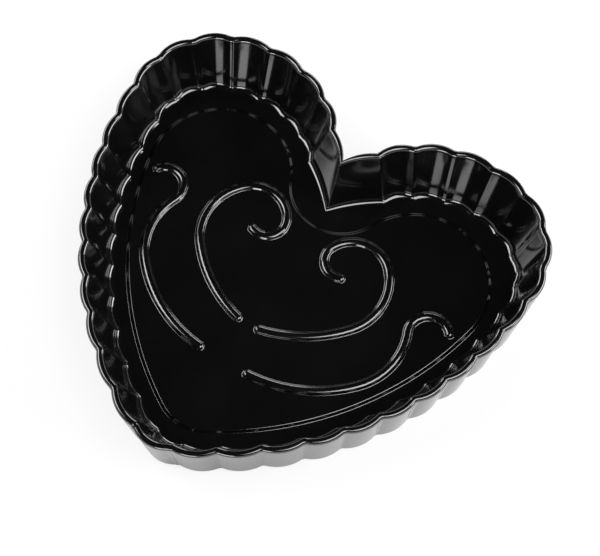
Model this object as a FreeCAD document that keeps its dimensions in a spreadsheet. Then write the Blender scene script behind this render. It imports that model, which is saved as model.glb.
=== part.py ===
import FreeCAD, Part
import math
import os
import Sketcher

# Heart-shaped baking dish with a fluted wall, one piece of glazed ceramic.
# Millimetres, +Z up, the tip of the heart towards -Y.  The origin is at the middle of the
# dish's outer box, on the plane that it stands on.

os.makedirs("parts", exist_ok=True)
doc = FreeCAD.newDocument("heart_dish")

# name, value and what it sets; angles are in degrees
SIZES = [
    ("dish_height", 42.0, "from the table to the top of the lip"),
    ("tip_radius", 41.7, "heart guide: bend at the tip"),
    ("shoulder_radius", 53.1, "heart guide: bend from the side to the lobe"),
    ("lobe_radius", 72.7, "heart guide: round top of each lobe"),
    ("cleft_radius", 8.7, "heart guide: hollow bend between the lobes"),
    ("tip_angle", 27.6, "heading where the tip's bend ends"),
    ("side_angle", 87.2, "heading where the side ends"),
    ("shoulder_angle", 157.6, "heading where the shoulder ends"),
    ("flank_angle", 61.19, "turn of the hollow bend to each side of the mirror line"),
    ("flute_count", 37, "flutes round the wall, an odd number: one stands on the tip"),
    ("flute_depth", 2.4, "from the valley to the crest of a flute"),
    ("flute_swing", 4.3, "how far the flutes shift along the wall from an even spread"),
    ("flute_swing_span", 13.5, "flutes in one swing of that shift"),
    ("rim_thickness", 4.5, "wall at the lip"),
    ("lip_share", 0.4, "rounding of both edges of the lip, as a share of its thickness"),
    ("wall_taper", 3.1, "how far the outer wall leans in down to the foot"),
    ("foot_height", 1.6, "height of the bevel under the wall"),
    ("foot_inset", 1.4, "width of the bevel under the wall"),
    ("floor_level", 6.0, "height of the floor round the panel"),
    ("inner_lean", 13.0, "lean of the inner wall from upright, along the sides"),
    ("lobe_lean", 3.5, "how much further in the inner wall comes down under the lobes' tops"),
    ("floor_round", 3.5, "rounding between the inner wall and the floor"),
    ("low_flute_depth", 2.0, "depth of the inner flutes at the foot of the wall"),
    ("floor_flute_depth", 1.8, "depth of the inner flutes where they meet the floor"),
    ("ring_width", 12.0, "standing ring, from the valleys of the base inwards"),
    ("recess_depth", 1.5, "hollow under the floor, inside the ring"),
    ("panel_start", 22.3, "from the guide's tip to the panel's tip"),
    ("panel_rise", 1.2, "height of the panel over the floor"),
    ("panel_tip_radius", 30.0, "panel: bend at the tip"),
    ("panel_lobe_radius", 44.1, "panel: lobe"),
    ("panel_cleft_radius", 30.0, "panel: hollow bend between the lobes"),
    ("panel_tip_angle", 29.7, "heading where the panel's tip ends"),
    ("panel_side_angle", 77.6, "heading where the panel's side ends"),
    ("panel_flank_angle", 66.1, "turn of the panel's hollow bend to each side of the mirror line"),
    ("bead_width", 5.0, "ornament: width of a bead at its foot"),
    ("bead_top", 2.1, "ornament: width of its flat top"),
    ("bead_height", 1.7, "ornament: rise over the panel"),
    ("bead_root", 0.4, "ornament: depth of the bead's root in the panel"),
]
LEAST_BULGE = 0.7  # share of its depth that a flute keeps where the guide is hollow
ROUNDING_STEPS = 1  # facets in the rounding between the floor and the wall
LOBE_JOINT = 150  # heading in the panel's lobe where its arc is drawn in two
LIP_ROUND = "sizes.rim_thickness * sizes.lip_share"
BROW_LEVEL = "(sizes.dish_height - " + LIP_ROUND + ") * 1 mm"  # under the lip's rounding

sizes = doc.addObject("Spreadsheet::Sheet", "sizes")
for row, (alias, value, note) in enumerate(SIZES, start=1):
    sizes.set("A" + str(row), alias)
    sizes.set("B" + str(row), str(value))
    sizes.set("C" + str(row), note)
    sizes.setAlias("B" + str(row), alias)
doc.recompute()


def size(alias):
    return float(sizes.get(alias))


# unit vector that points out of a heart where its outline has this heading
def out_at(heading):
    return FreeCAD.Vector(math.sin(heading), -math.cos(heading), 0)


# unit vector along an outline or a path of this heading
def ahead_at(heading):
    return FreeCAD.Vector(math.cos(heading), math.sin(heading), 0)


# A heart's right half is a chain of arcs from the tip (heading 0, along +X) to the cleft
# (heading 180): tip, side, shoulder, lobe and the hollow bend at the cleft, whose radius is kept
# below zero.  The first three are given with the heading where each ends.  The hollow bend is
# centred on the mirror line, so the lobe's centre stands off that line by their radii and the
# flank's angle, and the side's radius follows from that.
def heart_arcs(tip_y, tip, tip_end, side_end, shoulder, shoulder_end, lobe, cleft, flank):
    tip_sine, side_sine, shoulder_sine, flank_sine = [
        math.sin(math.radians(angle)) for angle in (tip_end, side_end, shoulder_end, flank)
    ]
    lobe_x = (lobe + cleft) * flank_sine
    rest = tip * tip_sine - shoulder * (side_sine - shoulder_sine) - lobe * shoulder_sine
    side = (lobe_x - rest) / (side_sine - tip_sine)
    radius = tip
    centre = FreeCAD.Vector(0, tip_y + tip, 0)
    heading = 0.0
    arcs = []
    ends = ((tip, tip_end), (side, side_end), (shoulder, shoulder_end), (lobe, 180 + flank))
    for next_radius, end_angle in ends:
        centre = centre + out_at(heading) * (radius - next_radius)
        radius = next_radius
        last = math.radians(end_angle)
        arcs.append((centre, radius, heading, last))
        heading = last
    centre = centre + out_at(heading) * (lobe + cleft)
    arcs.append((centre, -cleft, heading, math.pi))
    return arcs


def half_length(arcs):
    return sum(radius * (last - first) for centre, radius, first, last in arcs)


# Point at a distance along the outline from the tip, moved outwards.  A negative distance runs
# along the left half.  Under the lobes' tops, where the wall faces +Y, it is drawn in further.
def outline_point(arcs, along, outwards, drawn_in=0):
    left = abs(along)
    for centre, radius, first, last in arcs:
        last_bend = radius < 0
        if last_bend or left <= radius * (last - first):
            break
        left = left - radius * (last - first)
    heading = first + left / radius
    facing = max(out_at(heading).y, 0) ** 2
    point = centre + out_at(heading) * (radius + outwards - drawn_in * facing)
    if along < 0:
        point.x = -point.x
    return point


# flutes on each side of the one at the tip
def flutes_a_side():
    return round((size("flute_count") - 1) / 2)


# Distance along the guide to a flute's crest (whole number) or to a valley (half number).
def flute_station(arcs, number):
    swing = size("flute_swing")
    span = 2 * math.pi / size("flute_swing_span")
    end = flutes_a_side() + 0.5
    pitch = (half_length(arcs) - swing * math.sin(span * end)) / end
    return pitch * number + swing * math.sin(span * number)


# Closed row of arcs, one for each flute, from valley to valley over its crest; each arc is
# three points.
def fluted_outline(arcs, outwards, depth, drawn_in=0):
    row = []
    for number in range(-flutes_a_side(), flutes_a_side() + 1):
        start = outline_point(arcs, flute_station(arcs, number - 0.5), outwards, drawn_in)
        end = outline_point(arcs, flute_station(arcs, number + 0.5), outwards, drawn_in)
        crest = outline_point(arcs, flute_station(arcs, number), outwards + depth, drawn_in)
        middle = (start + end) * 0.5
        chord = (end - start).normalize()
        across = FreeCAD.Vector(chord.y, -chord.x, 0)
        bulge = max((crest - middle).dot(across), LEAST_BULGE * depth)
        row.append((start, middle + across * bulge, end))
    return row


# Closed row of arcs for a heart with no flutes: the right half up to the cleft, then back
# down the left half.
def smooth_outline(arcs, outwards):
    right = []
    for centre, radius, first, last in arcs:
        headings = (first, (first + last) / 2, last)
        right.append([centre + out_at(heading) * (radius + outwards) for heading in headings])
    left = [[FreeCAD.Vector(-p.x, p.y, 0) for p in reversed(points)] for points in reversed(right)]
    return right + left


def origin_plane(body, role):
    return [part for part in body.Origin.OriginFeatures if part.Role == role][0]


# Sketch on the body's own floor plane, lifted to a level, with a closed row of arcs.
def draw(body, name, row, level):
    sketch = body.newObject("Sketcher::SketchObject", name)
    sketch.AttachmentSupport = [(origin_plane(body, "XY_Plane"), "")]
    sketch.MapMode = "FlatFace"
    sketch.setExpression("AttachmentOffset.Base.z", level)
    ends = []
    for start, middle, end in row:
        left_turn = (middle - start).cross(end - middle).z > 0
        if left_turn:
            sketch.addGeometry(Part.Arc(start, middle, end), False)
        else:
            sketch.addGeometry(Part.Arc(end, middle, start), False)
        ends.append((1, 2) if left_turn else (2, 1))
    joints = []
    for number in range(len(row)):
        after = (number + 1) % len(row)
        joints.append(Sketcher.Constraint("Coincident", number, ends[number][1], after, ends[after][0]))
    sketch.addConstraint(joints)
    return sketch


def loft(body, kind, name, sections):
    shape = body.newObject(kind, name)
    shape.Profile = sections[0]
    shape.Sections = sections[1:]
    shape.Ruled = True
    return shape


# Outside of the dish: bevel at the foot, leaning fluted wall, outer rounding of the lip.
def add_outer_wall(body, guide):
    taper = size("wall_taper")
    depth = size("flute_depth")
    lip = size("rim_thickness") * size("lip_share")
    half_way = lip * (1 - math.sin(math.radians(45)))
    places = [
        ("foot", -taper - size("foot_inset"), "0 mm"),
        ("base", -taper, "sizes.foot_height * 1 mm"),
        ("brow", 0, BROW_LEVEL),
        ("lip", -half_way, "(sizes.dish_height - " + LIP_ROUND + " * (1 - sin(45 deg))) * 1 mm"),
        ("crown", -lip, "sizes.dish_height * 1 mm"),
    ]
    sections = []
    for name, outwards, level in places:
        sections.append(draw(body, "outer_" + name, fluted_outline(guide, outwards, depth), level))
    return loft(body, "PartDesign::AdditiveLoft", "outer_wall", sections)


# Inside of the dish, from the floor up: rounding, leaning fluted wall, inner rounding of the lip.
def cut_hollow(body, guide):
    lip = size("rim_thickness") * size("lip_share")
    lean = math.radians(size("inner_lean"))
    bend = size("floor_round")
    brow = -size("rim_thickness")
    sweep = math.radians(90) - lean
    wall_rise = size("dish_height") - lip - size("floor_level") - bend * (1 - math.cos(sweep))
    wall_start = brow - wall_rise * math.tan(lean)
    floor_edge = wall_start - bend * math.sin(sweep)
    shallow = size("floor_flute_depth")
    low = size("low_flute_depth")
    deep = size("flute_depth")
    sections = []
    for step in range(ROUNDING_STEPS + 1):
        share = step / ROUNDING_STEPS
        outwards = floor_edge + bend * math.sin(sweep * share)
        depth = shallow + (low - shallow) * share
        row = fluted_outline(guide, outwards, depth, size("lobe_lean"))
        turn = "(90 deg - sizes.inner_lean * 1 deg) * " + str(share)
        level = "(sizes.floor_level + sizes.floor_round * (1 - cos(" + turn + "))) * 1 mm"
        sections.append(draw(body, "inner_rounding_" + str(step), row, level))
    waist = fluted_outline(guide, (wall_start + brow) / 2, (low + deep) / 2, size("lobe_lean") / 2)
    wall_foot = "sizes.floor_level + sizes.floor_round * (1 - sin(sizes.inner_lean * 1 deg))"
    half_up = "(" + wall_foot + " + sizes.dish_height - " + LIP_ROUND + ") / 2 * 1 mm"
    sections.append(draw(body, "inner_waist", waist, half_up))
    for name, outwards, level in (
        ("brow", brow, BROW_LEVEL),
        ("crown", brow + lip, "sizes.dish_height * 1 mm"),
    ):
        sections.append(draw(body, "inner_" + name, fluted_outline(guide, outwards, deep), level))
    return loft(body, "PartDesign::SubtractiveLoft", "hollow", sections)


# Low hollow under the floor, so that the dish stands on a ring.
def cut_recess(body, guide):
    row = smooth_outline(guide, -size("wall_taper") - size("ring_width"))
    recess = body.newObject("PartDesign::Pocket", "recess")
    recess.Profile = draw(body, "recess_outline", row, "0 mm")
    recess.Reversed = True
    recess.setExpression("Length", "sizes.recess_depth * 1 mm")
    return recess


# Raised heart on the floor, with arcs of its own; its side runs straight into its lobe.
def add_panel(body, tip_y):
    start = tip_y + size("panel_start")
    side_end = size("panel_side_angle")
    lobe = size("panel_lobe_radius")
    arcs = heart_arcs(
        start, size("panel_tip_radius"), size("panel_tip_angle"), side_end, lobe, LOBE_JOINT,
        lobe, size("panel_cleft_radius"), size("panel_flank_angle"),
    )
    panel = body.newObject("PartDesign::Pad", "panel")
    panel.Profile = draw(body, "panel_outline", smooth_outline(arcs, 0), "sizes.floor_level * 1 mm")
    panel.setExpression("Length", "sizes.panel_rise * 1 mm")
    return panel


# The right half of the ornament: each bead starts at a point, measured from the guide's tip,
# on a heading in degrees and follows bends of a radius and a turn in degrees.
BEADS = {
    "swan": ((7, 93), 14, [(85, 36), (33, 84), (21, 110), (11, 140)]),
    "tail": ((16, 67), 4, [(84, 44), (40, 64), (12, -165)]),
}


# Closed row of arcs round a bead's path at a half width: up its right side, round its end, back
# down its left side and round its start.
def bead_outline(start, first_heading, bends, half_width):
    point = start
    heading = first_heading
    right = []
    left = []
    for radius, turn in bends:
        hand = math.copysign(1, turn)
        centre = point - out_at(heading) * hand * radius
        last = heading + math.radians(turn)
        headings = (heading, (heading + last) / 2, last)
        right.append([centre + out_at(h) * (hand * radius + half_width) for h in headings])
        left.append([centre + out_at(h) * (hand * radius - half_width) for h in reversed(headings)])
        point = centre + out_at(last) * hand * radius
        heading = last
    end = [right[-1][2], point + ahead_at(heading) * half_width, left[-1][0]]
    back = [left[0][2], start - ahead_at(first_heading) * half_width, right[0][0]]
    return right + [end] + left[::-1] + [back]


# Beads with sloping sides and a flat top, rooted in the panel, then their mirror image.
def add_ornament(body, tip_y):
    root = "(sizes.floor_level + sizes.panel_rise - sizes.bead_root) * 1 mm"
    top = "(sizes.floor_level + sizes.panel_rise + sizes.bead_height) * 1 mm"
    beads = []
    for name, ((x, y), heading, bends) in BEADS.items():
        start = FreeCAD.Vector(x, y + tip_y, 0)
        first = math.radians(heading)
        wide = bead_outline(start, first, bends, size("bead_width") / 2)
        narrow = bead_outline(start, first, bends, size("bead_top") / 2)
        sections = [draw(body, name + "_root", wide, root), draw(body, name + "_top", narrow, top)]
        beads.append(loft(body, "PartDesign::AdditiveLoft", name, sections))
    mirrored = body.newObject("PartDesign::Mirrored", "ornament_mirror")
    mirrored.Originals = beads
    mirrored.MirrorPlane = (origin_plane(body, "YZ_Plane"), [""])
    return mirrored


# The heart guide is the row of valleys at the lip; its tip is set so that the fluted outline
# is centred on the origin.
def centred_guide():
    shape = [size(alias) for alias in (
        "tip_radius", "tip_angle", "side_angle", "shoulder_radius", "shoulder_angle",
        "lobe_radius", "cleft_radius", "flank_angle",
    )]
    row = fluted_outline(heart_arcs(0, *shape), 0, size("flute_depth"))
    box = Part.Wire([Part.Arc(*points).toShape() for points in row]).BoundBox
    tip_y = -(box.YMin + box.YMax) / 2
    return tip_y, heart_arcs(tip_y, *shape)


tip_y, guide = centred_guide()
dish = doc.addObject("PartDesign::Body", "baking_dish")
dish.Label = "baking_dish"
add_outer_wall(dish, guide)
cut_hollow(dish, guide)
cut_recess(dish, guide)
add_panel(dish, tip_y)
dish.Tip = add_ornament(dish, tip_y)
doc.recompute()

for part in doc.Objects:
    if "Invalid" in part.State or "Error" in part.State:
        raise ValueError(part.Label + " did not build: " + str(part.State))
if dish.Shape.isNull() or not dish.Shape.isValid() or len(dish.Shape.Solids) != 1:
    raise ValueError("the dish is not one valid solid")
dish.Shape.exportStep("parts/baking_dish.step")
print("volume", round(dish.Shape.Volume))
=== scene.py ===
import math

import bpy
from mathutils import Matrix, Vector, kdtree
from mathutils.geometry import delaunay_2d_cdt


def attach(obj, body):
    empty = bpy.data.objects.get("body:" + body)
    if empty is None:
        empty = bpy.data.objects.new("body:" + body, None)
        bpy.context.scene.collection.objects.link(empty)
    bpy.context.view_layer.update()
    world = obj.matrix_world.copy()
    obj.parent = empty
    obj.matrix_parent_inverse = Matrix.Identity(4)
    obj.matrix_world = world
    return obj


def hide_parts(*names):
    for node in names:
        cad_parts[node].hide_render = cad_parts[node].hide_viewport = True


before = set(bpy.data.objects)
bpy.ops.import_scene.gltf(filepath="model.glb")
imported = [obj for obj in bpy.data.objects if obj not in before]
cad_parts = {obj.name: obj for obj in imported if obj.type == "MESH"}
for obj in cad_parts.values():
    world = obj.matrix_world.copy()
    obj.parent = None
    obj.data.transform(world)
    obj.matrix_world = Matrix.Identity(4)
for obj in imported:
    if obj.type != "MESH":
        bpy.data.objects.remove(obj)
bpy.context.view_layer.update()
print("frame loaded")

mm = 0.001  # sizes below are in millimetres, the scene is in metres

# the heart that the wall follows: its right half from tip to cleft, and the flutes along it
dish = {
    "tipY": -118.77,
    "bends": [(41.7, 27.6), (210.1, 87.2), (53.1, 157.6)],  # radius, heading where it ends
    "lobe": 72.7,
    "cleft": 8.7,
    "flutes": 37,
    "fluteDepth": 2.4,
    "fluteSwing": 4.3,  # how far the flutes shift from an even spread: closer together on the sides
    "fluteSwingSpan": 13.5,  # flutes in one swing of that shift
    "leastBulge": 0.7,  # share of the depth that each flute keeps
    "valleyRound": 2.6,
    "height": 42.0,
    "lipThickness": 4.5,
    "lipRound": 1.8,
    "lipInnerRound": 2.4,
    "taper": 3.1,
    "footRound": 1.9,
    "floorLevel": 6.0,
    "innerLean": 13.0,
    "lobeLean": 3.5,  # how much further in the inner wall comes down under the lobes' tops
    "floorRound": 4.2,
    "lowFluteDepth": 2.0,  # of the flutes at the inner wall's foot
    "floorFluteDepth": 1.8,  # and where its round meets the floor
    "floorBorder": 0.8,  # flat strip inside the round
    "ringWidth": 12.0,
    "recessDepth": 1.5,
    "recessRound": 0.6,
}

# how finely the wall is drawn
fine = {
    # distances from a valley where the mesh has a column, on a flute of the usual width
    "valleySteps": [0.0, 0.35, 0.7, 1.05, 1.6, 2.6, 4.2, 6.3, 8.6],
    "usualChord": 22.0,
    "recessRows": 4,
    "footRows": 7,
    "outerRows": 6,
    "lipRows": 8,
    "innerRows": 10,
    "floorRows": 10,
    "normalWeight": 50,  # how much the larger faces steer the shading
}


def outAt(heading):
    return Vector((math.sin(heading), -math.cos(heading)))


def heartArcs(tipY, bends, lobe, cleft):
    radius = bends[0][0]
    centre = Vector((0.0, tipY + radius))
    heading = 0.0
    arcs = []
    for nextRadius, endAngle in bends + [(lobe, None)]:
        centre = centre + outAt(heading) * (radius - nextRadius)
        radius = nextRadius
        last = math.radians(endAngle) if endAngle else math.pi + math.asin(centre.x / (lobe + cleft))
        arcs.append((centre, radius, heading, last))
        heading = last
    arcs.append((centre + outAt(heading) * (lobe + cleft), -cleft, heading, math.pi))
    return arcs


def halfLength(arcs):
    return sum(radius * (last - first) for centre, radius, first, last in arcs)


# point at a distance from the tip and the direction out of the heart there
def heartPoint(arcs, along):
    left = abs(along)
    for centre, radius, first, last in arcs:
        if radius < 0 or left <= radius * (last - first):
            break
        left -= radius * (last - first)
    out = outAt(first + left / radius)
    point = centre + out * radius
    if along < 0:
        point.x = -point.x
        out.x = -out.x
    return point, out


guide = heartArcs(dish["tipY"], dish["bends"], dish["lobe"], dish["cleft"])
sideFlutes = (dish["flutes"] - 1) // 2


def fluteStation(number):
    span = 2 * math.pi / dish["fluteSwingSpan"]
    end = sideFlutes + 0.5
    pitch = (halfLength(guide) - dish["fluteSwing"] * math.sin(span * end)) / end
    return pitch * number + dish["fluteSwing"] * math.sin(span * number)


# how far a column stands off its flute's chord: an arc, with a soft round in the valley
def fluteRise(place, chord, bulge):
    if bulge < 0.01:
        return 0.0
    slope = 2 * math.atan(2 * bulge / chord)
    radius = chord / 2 / math.sin(slope)
    return math.sqrt(max(radius ** 2 - (place - chord / 2) ** 2, 0)) - radius * math.cos(slope)


def valleyFill(fromValley, chord, bulge):
    slope = 2 * math.atan(2 * bulge / chord)
    soft = dish["valleyRound"]
    if fromValley >= soft * math.sin(slope):
        return 0.0
    return soft / math.cos(slope) - math.sqrt(soft ** 2 - fromValley ** 2) - math.tan(slope) * fromValley


# one closed row of the wall
def wallRow(outwards, level, depth, drawnIn=0.0):
    row = []
    for number in range(-sideFlutes, sideFlutes + 1):
        firstPoint, firstOut = heartPoint(guide, fluteStation(number - 0.5))
        lastPoint, lastOut = heartPoint(guide, fluteStation(number + 0.5))
        crestPoint, crestOut = heartPoint(guide, fluteStation(number))
        start = firstPoint + firstOut * (outwards - drawnIn * max(firstOut.y, 0) ** 2)
        end = lastPoint + lastOut * (outwards - drawnIn * max(lastOut.y, 0) ** 2)
        middle = (start + end) / 2
        chord = (end - start).length
        ahead = (end - start) / chord
        across = Vector((ahead.y, -ahead.x))
        crest = crestPoint + crestOut * (outwards + depth - drawnIn * max(crestOut.y, 0) ** 2)
        bulge = max((crest - middle).dot(across), dish["leastBulge"] * depth)
        steps = [step * chord / fine["usualChord"] for step in fine["valleySteps"]]
        for place in steps + [chord / 2] + [chord - step for step in reversed(steps[1:])]:
            spot = start + ahead * place
            spot += across * fluteRise(place, chord, bulge)
            fill = valleyFill(min(place, chord - place), chord, bulge)
            spot += (firstOut if place < chord / 2 else lastOut) * fill
            row.append((spot.x, spot.y, level))
    return row


# quarter or part of a round in the wall's section, as (outwards, level) pairs
def roundRows(centreOut, centreLevel, radius, firstAngle, lastAngle, steps):
    rows = []
    for step in range(steps + 1):
        angle = math.radians(firstAngle + (lastAngle - firstAngle) * step / steps)
        rows.append((centreOut + radius * math.cos(angle), centreLevel + radius * math.sin(angle)))
    return rows


# the wall's section as (outwards, level, depth of flutes, how far it is drawn in): from the
# recess underneath round the foot, up the outside, over the lip, down the inside and out on to
# the floor
def wallProfile():
    deep = dish["fluteDepth"]
    corner = dish["recessRound"]
    recess = dish["recessDepth"]
    ring = -dish["taper"] - dish["ringWidth"]
    foot = dish["footRound"]
    lean = math.degrees(math.atan(dish["taper"] / dish["height"]))
    rows = [(ring - 2 * corner, recess, 0.0)]
    for out, level in roundRows(ring - corner, recess - corner, corner, 90, 0, fine["recessRows"]):
        rows.append((out, level, 0.0))
    for out, level in roundRows(ring + corner, corner, corner, 180, 270, fine["recessRows"]):
        rows.append((out, level, 0.0))
    rows.append((-dish["taper"] - 2 * foot, 0.0, deep))
    for out, level in roundRows(-dish["taper"] - foot, foot, foot, 270, 360 - lean, fine["footRows"]):
        rows.append((out, level, deep))

    lip = dish["lipRound"]
    brow = dish["height"] - lip
    lowOut, lowLevel, lowDepth = rows[-1]
    for step in range(1, fine["outerRows"]):
        share = step / fine["outerRows"]
        rows.append((lowOut * (1 - share), lowLevel + (brow - lowLevel) * share, deep))
    for out, level in roundRows(-lip, brow, lip, -lean, 90, fine["lipRows"]):
        rows.append((out, level, deep))
    thick = dish["lipThickness"]
    inner = dish["lipInnerRound"]
    brow = dish["height"] - inner
    for out, level in roundRows(inner - thick, brow, inner, 90, 180, fine["lipRows"]):
        rows.append((out, level, deep))

    bend = dish["floorRound"]
    sweep = math.radians(90 - dish["innerLean"])
    wallFoot = dish["floorLevel"] + bend * (1 - math.cos(sweep))
    wallStart = -thick - (brow - wallFoot) / math.tan(sweep)
    low = dish["lowFluteDepth"]
    far = dish["lobeLean"]
    for step in range(1, fine["innerRows"]):
        share = step / fine["innerRows"]
        out = -thick + (wallStart + thick) * share
        rows.append((out, brow + (wallFoot - brow) * share, deep + (low - deep) * share, far * share))
    edge = wallStart - bend * math.sin(sweep)
    shallow = dish["floorFluteDepth"]
    for step in range(fine["floorRows"] + 1):
        share = step / fine["floorRows"]
        angle = sweep * (1 - share)
        level = dish["floorLevel"] + bend * (1 - math.cos(angle))
        rows.append((edge + bend * math.sin(angle), level, low + (shallow - low) * share, far))
    rows.append((edge - dish["floorBorder"], dish["floorLevel"], shallow, far))
    return rows


# the raised heart on the floor
panel = {
    "start": 22.3,  # from the guide's tip
    "bends": [(30.0, 29.7), (199.4, 77.6)],
    "lobe": 44.1,
    "cleft": 30.0,
    "rise": 1.2,
    "edgeStart": 0.4,  # the soft edge starts this far outside the outline
    "edgeWidth": 2.4,
    "edgeRows": 8,
    "gridStep": 9.0,  # coarse points of the flat top
    "gridReach": 130.0,
    "gridMargin": 3.0,
    "gridColumns": 160,
}
panelArcs = heartArcs(dish["tipY"] + panel["start"], panel["bends"], panel["lobe"], panel["cleft"])
panelTop = dish["floorLevel"] + panel["rise"]


def softStep(share):
    share = min(max(share, 0.0), 1.0)
    return share * share * (3 - 2 * share)


def panelRow(outwards, level, columns):
    whole = halfLength(panelArcs)
    row = []
    for column in range(columns):
        point, out = heartPoint(panelArcs, whole * (2 * column / columns - 1))
        spot = point + out * outwards
        row.append((spot.x, spot.y, level))
    return row


# the ornament in relief, its right half: start from the guide's tip, heading, then bends of a
# radius and a turn
scroll = {
    "beads": [
        ((7, 93), 14, [(85, 36), (33, 84), (21, 110), (11, 140)]),
        ((16, 67), 4, [(84, 44), (40, 64), (12, -165)]),
    ],
    "halfWidth": 2.5,
    "height": 1.7,
    "skirt": 0.7,  # where the glaze gathers at a bead's foot
    "footBlend": 1.2,
    "step": 1.3,
    "rails": [0.0, 0.55, 1.05, 1.45, 1.8, 2.1, 2.4, 2.75, 3.2],
    "fanTurns": [-75, -50, -25, 0, 25, 50, 75],  # points round a bead's end, in degrees
    "clear": 4.5,  # the coarse points of the floor keep this far from a bead
}


def beadPath(start, heading, bends):
    point = Vector(start)
    heading = math.radians(heading)
    path = [(point.copy(), heading)]
    for radius, turn in bends:
        hand = math.copysign(1, turn)
        centre = point - outAt(heading) * hand * radius
        turnBy = math.radians(turn)
        count = round(abs(turnBy) * radius / scroll["step"])
        for step in range(1, count + 1):
            angle = heading + turnBy * step / count
            path.append((centre + outAt(angle) * hand * radius, angle))
        heading += turnBy
        point = path[-1][0].copy()
    return path


def beadPaths():
    paths = []
    for (x, y), heading, bends in scroll["beads"]:
        right = beadPath((x, y + dish["tipY"]), heading, bends)
        paths.append(right)
        paths.append([(Vector((-point.x, point.y)), math.pi - angle) for point, angle in right])
    return paths


# height of a bead at a distance from its middle line: a round crown on a soft foot
def beadRise(distance):
    half = scroll["halfWidth"]
    skirt = scroll["skirt"]
    crown = math.sqrt(max(1 - (distance / half) ** 2, 0.0))
    blend = scroll["footBlend"]
    foot = 0.5 * (1 - softStep((distance - half + blend) / (skirt + blend)))
    return scroll["height"] * max(crown, foot)


def insideHeart(point, row):
    inside = False
    for (x0, y0, z0), (x1, y1, z1) in zip(row, row[1:] + row[:1]):
        if (y0 > point[1]) != (y1 > point[1]) and point[0] < x0 + (point[1] - y0) * (x1 - x0) / (y1 - y0):
            inside = not inside
    return inside


# points of the panel's top with their heights: rails along each bead, fans round its ends and a
# coarse grid everywhere else
def reliefPoints():
    paths = beadPaths()
    spine = [point for path in paths for point, angle in path]
    tree = kdtree.KDTree(len(spine))
    for index, point in enumerate(spine):
        tree.insert((point.x, point.y, 0), index)
    tree.balance()
    points = []
    for path in paths:
        for point, angle in path:
            for rail in scroll["rails"]:
                for side in (1, -1) if rail else (1,):
                    points.append((point + outAt(angle) * rail * side, rail))
        for (point, angle), sign in ((path[0], -1), (path[-1], 1)):
            for rail in scroll["rails"][1:]:
                for turn in scroll["fanTurns"]:
                    swing = angle + math.radians(turn)
                    along = Vector((math.cos(swing), math.sin(swing)))
                    points.append((point + along * rail * sign, rail))
    relief = [(spot.x, spot.y, panelTop + beadRise(rail)) for spot, rail in points]
    inner = panelRow(-panel["edgeWidth"] - panel["gridMargin"], 0, panel["gridColumns"])
    step = panel["gridStep"]
    count = int(panel["gridReach"] / step)
    for i in range(-count, count + 1):
        for j in range(-count, count + 1):
            x = i * step + (step / 2 if j % 2 else 0)
            y = j * step
            if insideHeart((x, y), inner) and tree.find((x, y, 0))[2] > scroll["clear"]:
                relief.append((x, y, panelTop))
    return relief


# a whole surface in one mesh
class Surface:
    def __init__(self):
        self.points = []
        self.faces = []

    def addRow(self, row):
        first = len(self.points)
        self.points += row
        return list(range(first, first + len(row)))

    def bridge(self, lower, upper):
        for column in range(len(lower)):
            after = (column + 1) % len(lower)
            self.faces.append((lower[column], lower[after], upper[after], upper[column]))

    # fills a closed row with triangles, through more points inside it
    def fill(self, row, inner, facesUp):
        border = [Vector(self.points[index][:2]) for index in row]
        spots = border + [Vector(point[:2]) for point in inner]
        edges = [(i, (i + 1) % len(row)) for i in range(len(row))]
        insideOnly = 1
        sameSpot = 1e-5  # points nearer than this would become one
        found = delaunay_2d_cdt(spots, edges, [list(range(len(row)))], insideOnly, sameSpot)
        places = []
        for spot, sources in zip(found[0], found[3]):
            source = sources[0]
            if source < len(row):
                places.append(row[source])
            else:
                self.points.append((spot.x, spot.y, inner[source - len(row)][2]))
                places.append(len(self.points) - 1)
        for face in found[2]:
            corners = [places[index] for index in face]
            self.faces.append(corners if facesUp else corners[::-1])


def makeObject(name, surface):
    mesh = bpy.data.meshes.new(name)
    mesh.from_pydata([(x * mm, y * mm, z * mm) for x, y, z in surface.points], [], surface.faces)
    mesh.validate()
    mesh.shade_smooth()
    piece = bpy.data.objects.new(name, mesh)
    bpy.context.collection.objects.link(piece)
    return piece


def makeDish():
    surface = Surface()
    rows = [surface.addRow(wallRow(*place)) for place in wallProfile()]
    for lower, upper in zip(rows, rows[1:]):
        surface.bridge(lower, upper)
    surface.fill(rows[0], [], False)
    columns = len(rows[0])
    last = rows[-1]
    for step in range(panel["edgeRows"] + 1):
        share = step / panel["edgeRows"]
        level = dish["floorLevel"] + panel["rise"] * softStep(share)
        outwards = panel["edgeStart"] - panel["edgeWidth"] * share
        row = surface.addRow(panelRow(outwards, level, columns))
        surface.bridge(last, row)
        last = row
    surface.fill(last, reliefPoints(), True)
    piece = makeObject("dishBody", surface)
    weighted = piece.modifiers.new("flatFacesStayFlat", "WEIGHTED_NORMAL")
    weighted.weight = fine["normalWeight"]
    return piece


# black glaze: deep gloss with slight pooling and a fine ripple
glaze = {
    "colour": (0.0015, 0.0015, 0.0018, 1),
    "thinColour": (0.004, 0.0035, 0.0035, 1),
    "roughness": (0.09, 0.13),
    "poolingScale": 26.0,
    "poolingDetail": 5,
    "poolingRange": (0.3, 0.7),
    "ior": 1.85,
    "rippleScale": 30.0,
    "rippleDetail": 1,
    "rippleHeight": 0.00002,
    "grainScale": 900.0,
    "grainDetail": 3,
    "grainHeight": 0.000001,
}


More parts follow.
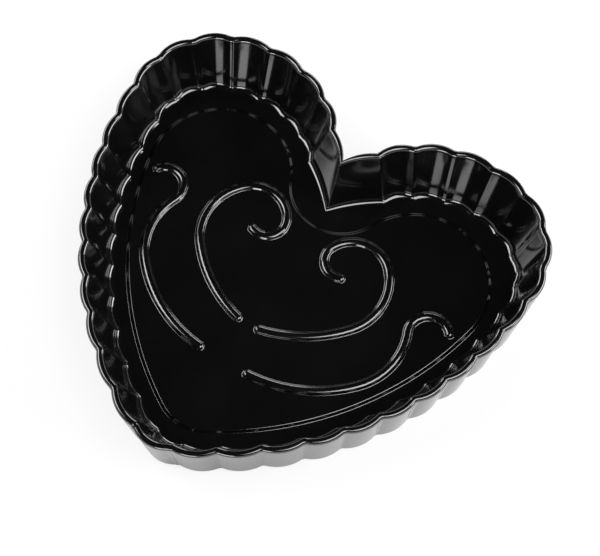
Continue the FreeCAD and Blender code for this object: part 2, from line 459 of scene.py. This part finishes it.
def makeGlaze():
    material = bpy.data.materials.new("blackGlaze")
    material.use_nodes = True
    nodes = material.node_tree.nodes
    links = material.node_tree.links
    shader = nodes["Principled BSDF"]
    shader.inputs["IOR"].default_value = glaze["ior"]
    place = nodes.new("ShaderNodeTexCoord")
    pooling = nodes.new("ShaderNodeTexNoise")
    pooling.inputs["Scale"].default_value = glaze["poolingScale"]
    pooling.inputs["Detail"].default_value = glaze["poolingDetail"]
    links.new(place.outputs["Object"], pooling.inputs["Vector"])
    colour = nodes.new("ShaderNodeMix")
    colour.data_type = "RGBA"
    colour.inputs["A"].default_value = glaze["colour"]
    colour.inputs["B"].default_value = glaze["thinColour"]
    links.new(pooling.outputs["Fac"], colour.inputs["Factor"])
    links.new(colour.outputs["Result"], shader.inputs["Base Color"])
    roughness = nodes.new("ShaderNodeMapRange")
    roughness.inputs["From Min"].default_value = glaze["poolingRange"][0]
    roughness.inputs["From Max"].default_value = glaze["poolingRange"][1]
    roughness.inputs["To Min"].default_value = glaze["roughness"][0]
    roughness.inputs["To Max"].default_value = glaze["roughness"][1]
    links.new(pooling.outputs["Fac"], roughness.inputs["Value"])
    links.new(roughness.outputs["Result"], shader.inputs["Roughness"])
    ripple = nodes.new("ShaderNodeTexNoise")
    ripple.inputs["Scale"].default_value = glaze["rippleScale"]
    ripple.inputs["Detail"].default_value = glaze["rippleDetail"]
    links.new(place.outputs["Object"], ripple.inputs["Vector"])
    grain = nodes.new("ShaderNodeTexNoise")
    grain.inputs["Scale"].default_value = glaze["grainScale"]
    grain.inputs["Detail"].default_value = glaze["grainDetail"]
    links.new(place.outputs["Object"], grain.inputs["Vector"])
    rippleBump = nodes.new("ShaderNodeBump")
    rippleBump.inputs["Strength"].default_value = 1
    rippleBump.inputs["Distance"].default_value = glaze["rippleHeight"]
    links.new(ripple.outputs["Fac"], rippleBump.inputs["Height"])
    grainBump = nodes.new("ShaderNodeBump")
    grainBump.inputs["Strength"].default_value = 1
    grainBump.inputs["Distance"].default_value = glaze["grainHeight"]
    links.new(grain.outputs["Fac"], grainBump.inputs["Height"])
    links.new(rippleBump.outputs["Normal"], grainBump.inputs["Normal"])
    links.new(grainBump.outputs["Normal"], shader.inputs["Normal"])
    return material


body = makeDish()
body.data.materials.append(makeGlaze())
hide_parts("baking_dish")
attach(body, "root")
print("dish made:", len(body.data.polygons), "faces")

# studio: a pale floor, a pale low surround, a dark ceiling and soft lamps
studio = {
    "floorSize": 2.4,
    "floorColour": (0.86, 0.86, 0.86, 1),
    "floorRoughness": 0.9,
    "cameraWhite": 0.8,  # share of plain white in the floor as the camera sees it
    "glossWhite": 0.1,  # and as it shows in the glaze
    "lowSky": 1.5,
    "highSky": 0.01,
    "bandFade": (0.10, 0.35),  # sines of the heights where the pale band starts to fade and ends
    "lamps": [
        # name, azimuth from +X, height angle, distance, size, radiance
        ("highRightLamp", -4, 63, 1.6, (1.15, 0.75), 6),
        ("highLeftLamp", 196, 52, 1.6, (0.8, 0.6), 6.5),
        ("frontLamp", -76, 20, 1.6, (0.6, 0.45), 8),
        ("rightLamp", 30, 24, 1.6, (1.5, 0.5), 8.5),
        ("leftLamp", 168, 24, 1.6, (0.8, 0.45), 6.5),
        ("backLamp", 105, 22, 1.6, (0.7, 0.35), 6),
    ],
}


def makeFloor():
    bpy.ops.mesh.primitive_plane_add(size=studio["floorSize"], location=(0, 0, 0))
    floor = bpy.context.object
    floor.name = "floor"
    material = bpy.data.materials.new("paleFloor")
    material.use_nodes = True
    nodes = material.node_tree.nodes
    links = material.node_tree.links
    shader = nodes["Principled BSDF"]
    shader.inputs["Base Color"].default_value = studio["floorColour"]
    shader.inputs["Roughness"].default_value = studio["floorRoughness"]
    shader.inputs["Specular IOR Level"].default_value = 0
    white = nodes.new("ShaderNodeEmission")
    white.inputs["Strength"].default_value = 1
    path = nodes.new("ShaderNodeLightPath")
    inGloss = nodes.new("ShaderNodeMath")
    inGloss.operation = "MULTIPLY"
    links.new(path.outputs["Is Glossy Ray"], inGloss.inputs[0])
    inGloss.inputs[1].default_value = studio["glossWhite"]
    share = nodes.new("ShaderNodeMath")
    share.operation = "MULTIPLY_ADD"
    links.new(path.outputs["Is Camera Ray"], share.inputs[0])
    share.inputs[1].default_value = studio["cameraWhite"]
    links.new(inGloss.outputs["Value"], share.inputs[2])
    mix = nodes.new("ShaderNodeMixShader")
    links.new(share.outputs["Value"], mix.inputs["Fac"])
    links.new(shader.outputs["BSDF"], mix.inputs[1])
    links.new(white.outputs["Emission"], mix.inputs[2])
    links.new(mix.outputs["Shader"], nodes["Material Output"].inputs["Surface"])
    floor.data.materials.append(material)


def makeSurround():
    world = bpy.data.worlds.new("studio")
    bpy.context.scene.world = world
    world.use_nodes = True
    nodes = world.node_tree.nodes
    links = world.node_tree.links
    place = nodes.new("ShaderNodeTexCoord")
    split = nodes.new("ShaderNodeSeparateXYZ")
    links.new(place.outputs["Generated"], split.inputs["Vector"])
    fade = nodes.new("ShaderNodeMapRange")
    fade.interpolation_type = "SMOOTHSTEP"
    fade.inputs["From Min"].default_value = studio["bandFade"][0]
    fade.inputs["From Max"].default_value = studio["bandFade"][1]
    fade.inputs["To Min"].default_value = studio["lowSky"]
    fade.inputs["To Max"].default_value = studio["highSky"]
    links.new(split.outputs["Z"], fade.inputs["Value"])
    path = nodes.new("ShaderNodeLightPath")
    choose = nodes.new("ShaderNodeMix")
    links.new(path.outputs["Is Camera Ray"], choose.inputs["Factor"])
    links.new(fade.outputs["Result"], choose.inputs["A"])
    choose.inputs["B"].default_value = 1
    links.new(choose.outputs["Result"], nodes["Background"].inputs["Strength"])
    nodes["Background"].inputs["Color"].default_value = (1, 1, 1, 1)


def makeLamps():
    for name, azimuth, height, distance, size, radiance in studio["lamps"]:
        light = bpy.data.lights.new(name, "AREA")
        light.shape = "RECTANGLE"
        light.size = size[0]
        light.size_y = size[1]
        light.energy = radiance * math.pi * size[0] * size[1]
        turn = math.radians(azimuth)
        rise = math.radians(height)
        level = math.cos(rise)
        spot = Vector((math.cos(turn) * level, math.sin(turn) * level, math.sin(rise))) * distance
        lamp = bpy.data.objects.new(name, light)
        lamp.location = spot
        lamp.rotation_euler = (-spot).to_track_quat("-Z", "Y").to_euler()
        bpy.context.collection.objects.link(lamp)


# the photo's view
view = {
    "azimuth": 31.98,
    "elevation": 66.9,
    "distance": 0.7105,
    "target": (0.01775, 0.0016, 0.041),
    "lens": 77.4,
    "sensor": 36.0,
}


def makeCamera():
    azimuth = math.radians(view["azimuth"])
    elevation = math.radians(view["elevation"])
    back = Vector((
        math.sin(azimuth) * math.cos(elevation),
        -math.cos(azimuth) * math.cos(elevation),
        math.sin(elevation),
    ))
    camera = bpy.data.cameras.new("camera")
    camera.lens = view["lens"]
    camera.sensor_width = view["sensor"]
    camera.sensor_fit = "HORIZONTAL"
    holder = bpy.data.objects.new("camera", camera)
    holder.location = Vector(view["target"]) + back * view["distance"]
    holder.rotation_euler = (-back).to_track_quat("-Z", "Y").to_euler()
    bpy.context.collection.objects.link(holder)
    bpy.context.scene.camera = holder


makeFloor()
makeSurround()
makeLamps()
makeCamera()
bpy.context.scene.view_settings.view_transform = "Standard"
print("studio and camera set")
